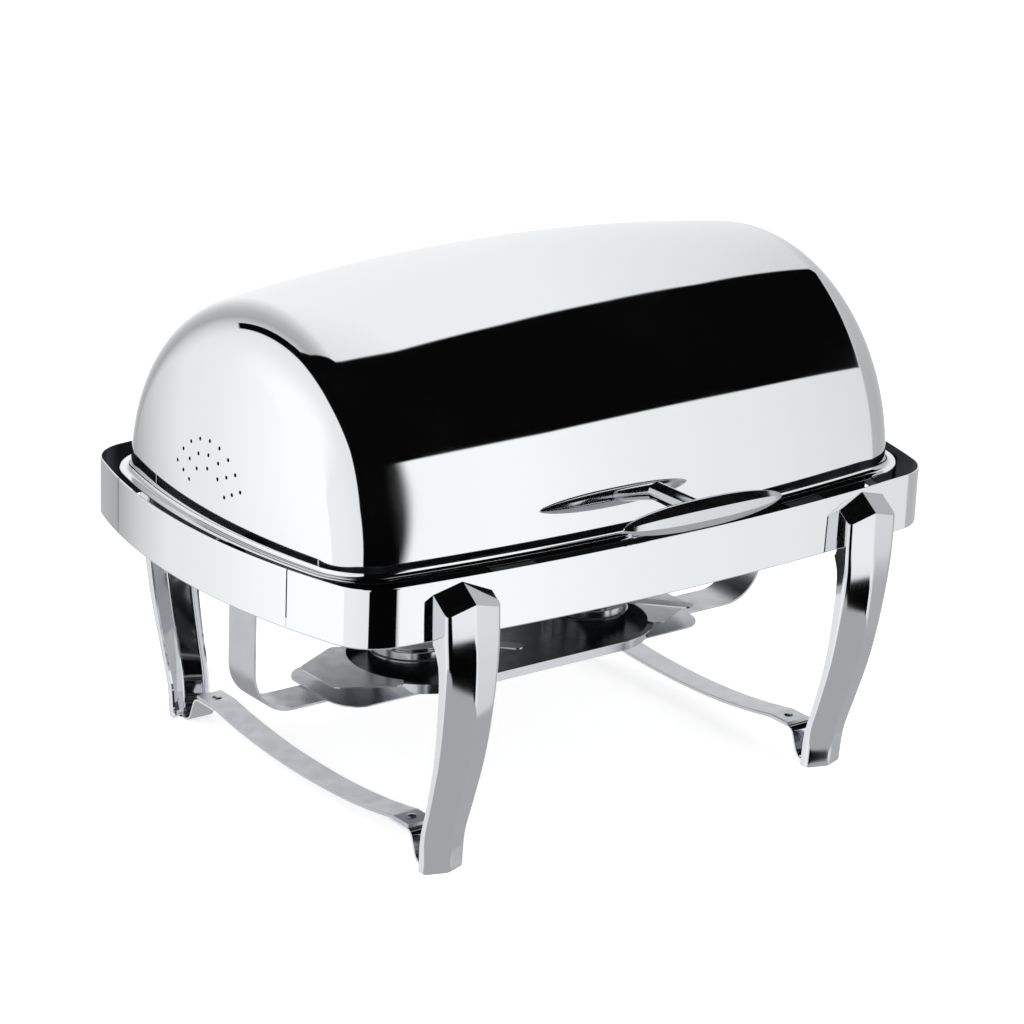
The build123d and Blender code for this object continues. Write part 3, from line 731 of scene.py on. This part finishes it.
# %% Punch the vents
# radius and number of holes of each arc, the angles where it starts and stops, and the hole's width
VENT_ARCS = [(51.5, 9), (40, 7), (29, 5)]
VENT_CENTRE, VENT_FROM, VENT_TO, VENT_HOLE, VENT_X = (2, 268.3), 26, 154, 3.3, 300
vent_points = []
for arc_radius, holes in VENT_ARCS:
    for i in range(holes):
        t = radians(VENT_FROM + (VENT_TO - VENT_FROM) * i / (holes - 1))
        y, z = VENT_CENTRE[0] + arc_radius * cos(t), VENT_CENTRE[1] + arc_radius * sin(t)
        vent_points += [(side * VENT_X * MM, y * MM + AXIS_Y, z * MM) for side in (-1, 1)]
marks = bpy.data.meshes.new("vent_marks")
marks.from_pydata(vent_points, [], [])
vent_marks = bpy.data.objects.new("vent_marks", marks)
bpy.context.collection.objects.link(vent_marks)
punch = bpy.data.node_groups.new("punch_vents", "GeometryNodeTree")
punch.interface.new_socket("Geometry", in_out="INPUT", socket_type="NodeSocketGeometry")
hole_input = punch.interface.new_socket("Hole radius", in_out="INPUT", socket_type="NodeSocketFloat")
punch.interface.new_socket("Geometry", in_out="OUTPUT", socket_type="NodeSocketGeometry")
given = add_node(punch, "NodeGroupInput")
centres = add_node(punch, "GeometryNodeObjectInfo", Object=vent_marks)
pin = add_node(punch, "GeometryNodeMeshCylinder", Vertices=16, Radius=given.outputs["Hole radius"],
               Depth=0.05)
pins = add_node(punch, "GeometryNodeInstanceOnPoints", Points=centres.outputs["Geometry"],
                Instance=pin.outputs["Mesh"], Rotation=(0, pi / 2, 0))
cutters = add_node(punch, "GeometryNodeRealizeInstances", Geometry=pins.outputs["Instances"])
cut = add_node(punch, "GeometryNodeMeshBoolean", {"operation": "DIFFERENCE", "solver": "EXACT"},
               _0=given.outputs["Geometry"], _1=cutters.outputs["Geometry"])
painted = add_node(punch, "GeometryNodeSetMaterial", Geometry=cut.outputs["Mesh"], Material=mirror_steel)
add_node(punch, "NodeGroupOutput", Geometry=painted.outputs["Geometry"])
modifier = lid.modifiers.new("vents", "NODES")
modifier.node_group = punch
modifier[hole_input.identifier] = VENT_HOLE / 2 * MM
bpy.context.view_layer.update()
punched = bpy.data.meshes.new_from_object(lid.evaluated_get(bpy.context.evaluated_depsgraph_get()))
lid.modifiers.clear()
print("faces before", len(lid.data.polygons), "after", len(punched.polygons))
lid.data = punched
punched.shade_smooth()
punched.set_sharp_from_angle(angle=SMOOTH_BELOW)
# the lid's inside faces take the dark colour that paints shade in it, so the vents look dark
dull_and_shade_inside(lid, lambda place: (place.x * 0.8, AXIS_Y, AXIS_Z))
bpy.data.objects.remove(vent_marks)


# %% [markdown]
# ## Studio
# Mirror steel shows the room more than itself. The room is a white tent with black flags: one big
# flag above the camera gives the lid its dark band, a white card below it fills the front, and the
# black beside that card gives the dark stripe at the corner. The world draws them by direction, as
# two angles: lam, how far a ray points along x, and phi, how far it turns about x from the front.
# Their edges and greys suit one view, from the front left, and other views show large black areas.

# %% World of cards and flags
world = bpy.data.worlds.new("studio")
bpy.context.scene.world = world
world.use_nodes = True
room = world.node_tree
room.nodes.clear()


def maths(operation, *values):
    """The result of one math node on numbers or sockets."""
    settings = {"operation": operation}
    return add_node(room, "ShaderNodeMath", settings, **{f"_{i}": v for i, v in enumerate(values)}).outputs[0]


def blend(share, one, other):
    """One where the share is 1 and the other where it is 0."""
    rest = maths("SUBTRACT", 1, share)
    return maths("ADD", maths("MULTIPLY", one, share), maths("MULTIPLY", other, rest))


def step_up(value, edge, soft=1.0):
    """0 below the edge and 1 above it, over soft degrees."""
    past_edge = maths("SUBTRACT", value, edge)
    ramp = add_node(room, "ShaderNodeMapRange", {"interpolation_type": "SMOOTHSTEP"}, Value=past_edge)
    for socket, number in (("From Min", -soft / 2), ("From Max", soft / 2), ("To Min", 0), ("To Max", 1)):
        ramp.inputs[socket].default_value = number
    return ramp.outputs["Result"]


def curve_of(value, low, high, points):
    """Straight runs through (input, output) points, for inputs from low to high degrees."""
    bottom, top = min(y for _, y in points), max(y for _, y in points)
    span = max(top - bottom, 1e-6)
    shared = maths("DIVIDE", maths("SUBTRACT", value, low), high - low)
    node = add_node(room, "ShaderNodeFloatCurve", Value=shared)
    line = node.mapping.curves[0]
    while len(line.points) < len(points):
        line.points.new(0.5, 0.5)
    for handle, (x, y) in zip(line.points, points):
        handle.location = ((x - low) / (high - low), (y - bottom) / span)
        handle.handle_type = "VECTOR"
    node.mapping.update()
    return maths("ADD", maths("MULTIPLY", node.outputs["Value"], span), bottom)


MIRROR_SHARE = 0.86
FLAG_BLACK, FLAG_END = 0.0016, 57
TABLE_EDGE, TABLE_GREY = -0.49, 172
PLAIN_LIGHT = 1.0


def light_of(grey):
    """Card brightness that shows as this sRGB grey in the steel."""
    return linear(f"#{grey:02x}{grey:02x}{grey:02x}")[0] / MIRROR_SHARE


direction = add_node(room, "ShaderNodeTexCoord").outputs["Generated"]
axes = add_node(room, "ShaderNodeSeparateXYZ", Vector=direction)
dx, dy, dz = axes.outputs["X"], axes.outputs["Y"], axes.outputs["Z"]
lam = maths("DEGREES", maths("ARCSINE", dx))
phi = maths("ADD", maths("DEGREES", maths("ARCTAN2", dy, dz)), 90)
flag_left = curve_of(phi, -90, 270, [(-90, -34.6), (15, -34), (46, -26), (73, -25), (103, -21), (148, -20),
                                     (270, -20)])
flag_top = curve_of(lam, -90, 90, [(-90, 148), (-13, 148), (-12, 105), (-5, 100), (16, 95.5), (24, 91),
                                   (31, 94), (37.6, 98.6), (44, 105), (50, 116), (57, 126), (90, 126)])
card_top = curve_of(lam, -90, 90, [(-90, 34), (30, 34), (38, 35.5), (46, 37), (56, 40), (90, 40)])
below_top = maths("SUBTRACT", 1, step_up(phi, flag_top, 1.6))
before_end = maths("SUBTRACT", 1, step_up(lam, FLAG_END))
flag = maths("MULTIPLY", maths("MULTIPLY", step_up(lam, flag_left), below_top), before_end)
card = maths("MULTIPLY", step_up(lam, 19.5), maths("SUBTRACT", 1, step_up(phi, card_top)))
dark = maths("MULTIPLY", flag, maths("SUBTRACT", 1, card))
ceiling = curve_of(lam, -90, 90, [(x, light_of(grey)) for x, grey in (
    (-90, 254), (-55, 252), (-35, 234), (-25, 230), (-15, 206), (-5, 166), (5, 180), (15, 208), (25, 238),
    (35, 236), (45, 222), (55, 196), (65, 182), (90, 174))])
walls = curve_of(lam, -90, 90, [(x, light_of(grey)) for x, grey in (
    (-90, 238), (-60, 235), (-34, 228), (19, 246), (27, 248), (36, 236), (46, 230), (57, 218), (60, 178),
    (90, 172))])
overhead = step_up(phi, 60, 40)
cards = blend(overhead, ceiling, walls)
tent = blend(dark, FLAG_BLACK, cards)
above_table = step_up(dz, TABLE_EDGE, 0.02)
seen_in_steel = blend(above_table, tent, light_of(TABLE_GREY))
glossy = add_node(room, "ShaderNodeLightPath").outputs["Is Glossy Ray"]
strength = blend(glossy, seen_in_steel, PLAIN_LIGHT)
sky = add_node(room, "ShaderNodeBackground", Color=(1, 1, 1, 1), Strength=strength)
add_node(room, "ShaderNodeOutputWorld", Surface=sky.outputs["Background"])
print("world nodes:", len(room.nodes))


# %% [markdown]
# A pale floor, which also glows a little, carries a soft shadow under the feet. It is left out of the
# reflections: the world shows the steel an even grey table top in its place.

# %% Floor, light and view
floor_mesh = bpy.data.meshes.new("floor")
FLOOR = 30
floor_corners = [(-FLOOR, -FLOOR, 0), (FLOOR, -FLOOR, 0), (FLOOR, FLOOR, 0), (-FLOOR, FLOOR, 0)]
floor_mesh.from_pydata(floor_corners, [], [(0, 1, 2, 3)])
floor = bpy.data.objects.new("floor", floor_mesh)
bpy.context.collection.objects.link(floor)
paint = bpy.data.materials.new("floor_matt_paint")
paint.use_nodes = True
surface = paint.node_tree.nodes["Principled BSDF"].inputs
surface["Base Color"].default_value = linear("#F2F2F2")
surface["Roughness"].default_value = 0.9
surface["Specular IOR Level"].default_value = 0.0
surface["Emission Color"].default_value = (1, 1, 1, 1)
surface["Emission Strength"].default_value = 0.6
floor_mesh.materials.append(paint)
floor.visible_glossy = False
floor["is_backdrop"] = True

softbox = bpy.data.lights.new("softbox", "AREA")
softbox.shape = "RECTANGLE"
softbox.size, softbox.size_y = 4.0, 4.0
softbox.energy = 30
overhead_light = bpy.data.objects.new("softbox", softbox)
overhead_light.location = (-0.6, -0.8, 3.2)
overhead_light.rotation_euler = (radians(14), radians(-10), 0)
overhead_light.visible_glossy = False
bpy.context.collection.objects.link(overhead_light)

scene = bpy.context.scene
scene.view_settings.view_transform = "Standard"
YAW, PITCH, ROLL, LENS = radians(-37.67), radians(19.37), 0.0412, 124.3
CAMERA_PLACE = (-1.72713, -2.22547, 1.20057)
forward = Vector((-sin(YAW) * cos(PITCH), cos(YAW) * cos(PITCH), -sin(PITCH)))
level = forward.cross(Vector((0, 0, 1))).normalized()
upright = level.cross(forward)
right = level * cos(ROLL) + upright * sin(ROLL)
up = upright * cos(ROLL) - level * sin(ROLL)
camera_data = bpy.data.cameras.new("camera")
camera_data.lens = LENS
camera = bpy.data.objects.new("camera", camera_data)
bpy.context.collection.objects.link(camera)
camera_turn = Matrix((right, up, -forward)).transposed().to_4x4()
camera.matrix_world = Matrix.Translation(CAMERA_PLACE) @ camera_turn
scene.camera = camera
print("camera at", CAMERA_PLACE)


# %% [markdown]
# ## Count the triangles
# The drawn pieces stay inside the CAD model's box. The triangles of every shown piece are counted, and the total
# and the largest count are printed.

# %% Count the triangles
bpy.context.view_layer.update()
triangles = {piece.name: sum(len(face.vertices) - 2 for face in piece.data.polygons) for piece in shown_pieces()}
print("triangles:", sum(triangles.values()), "largest:", max(triangles.values()))
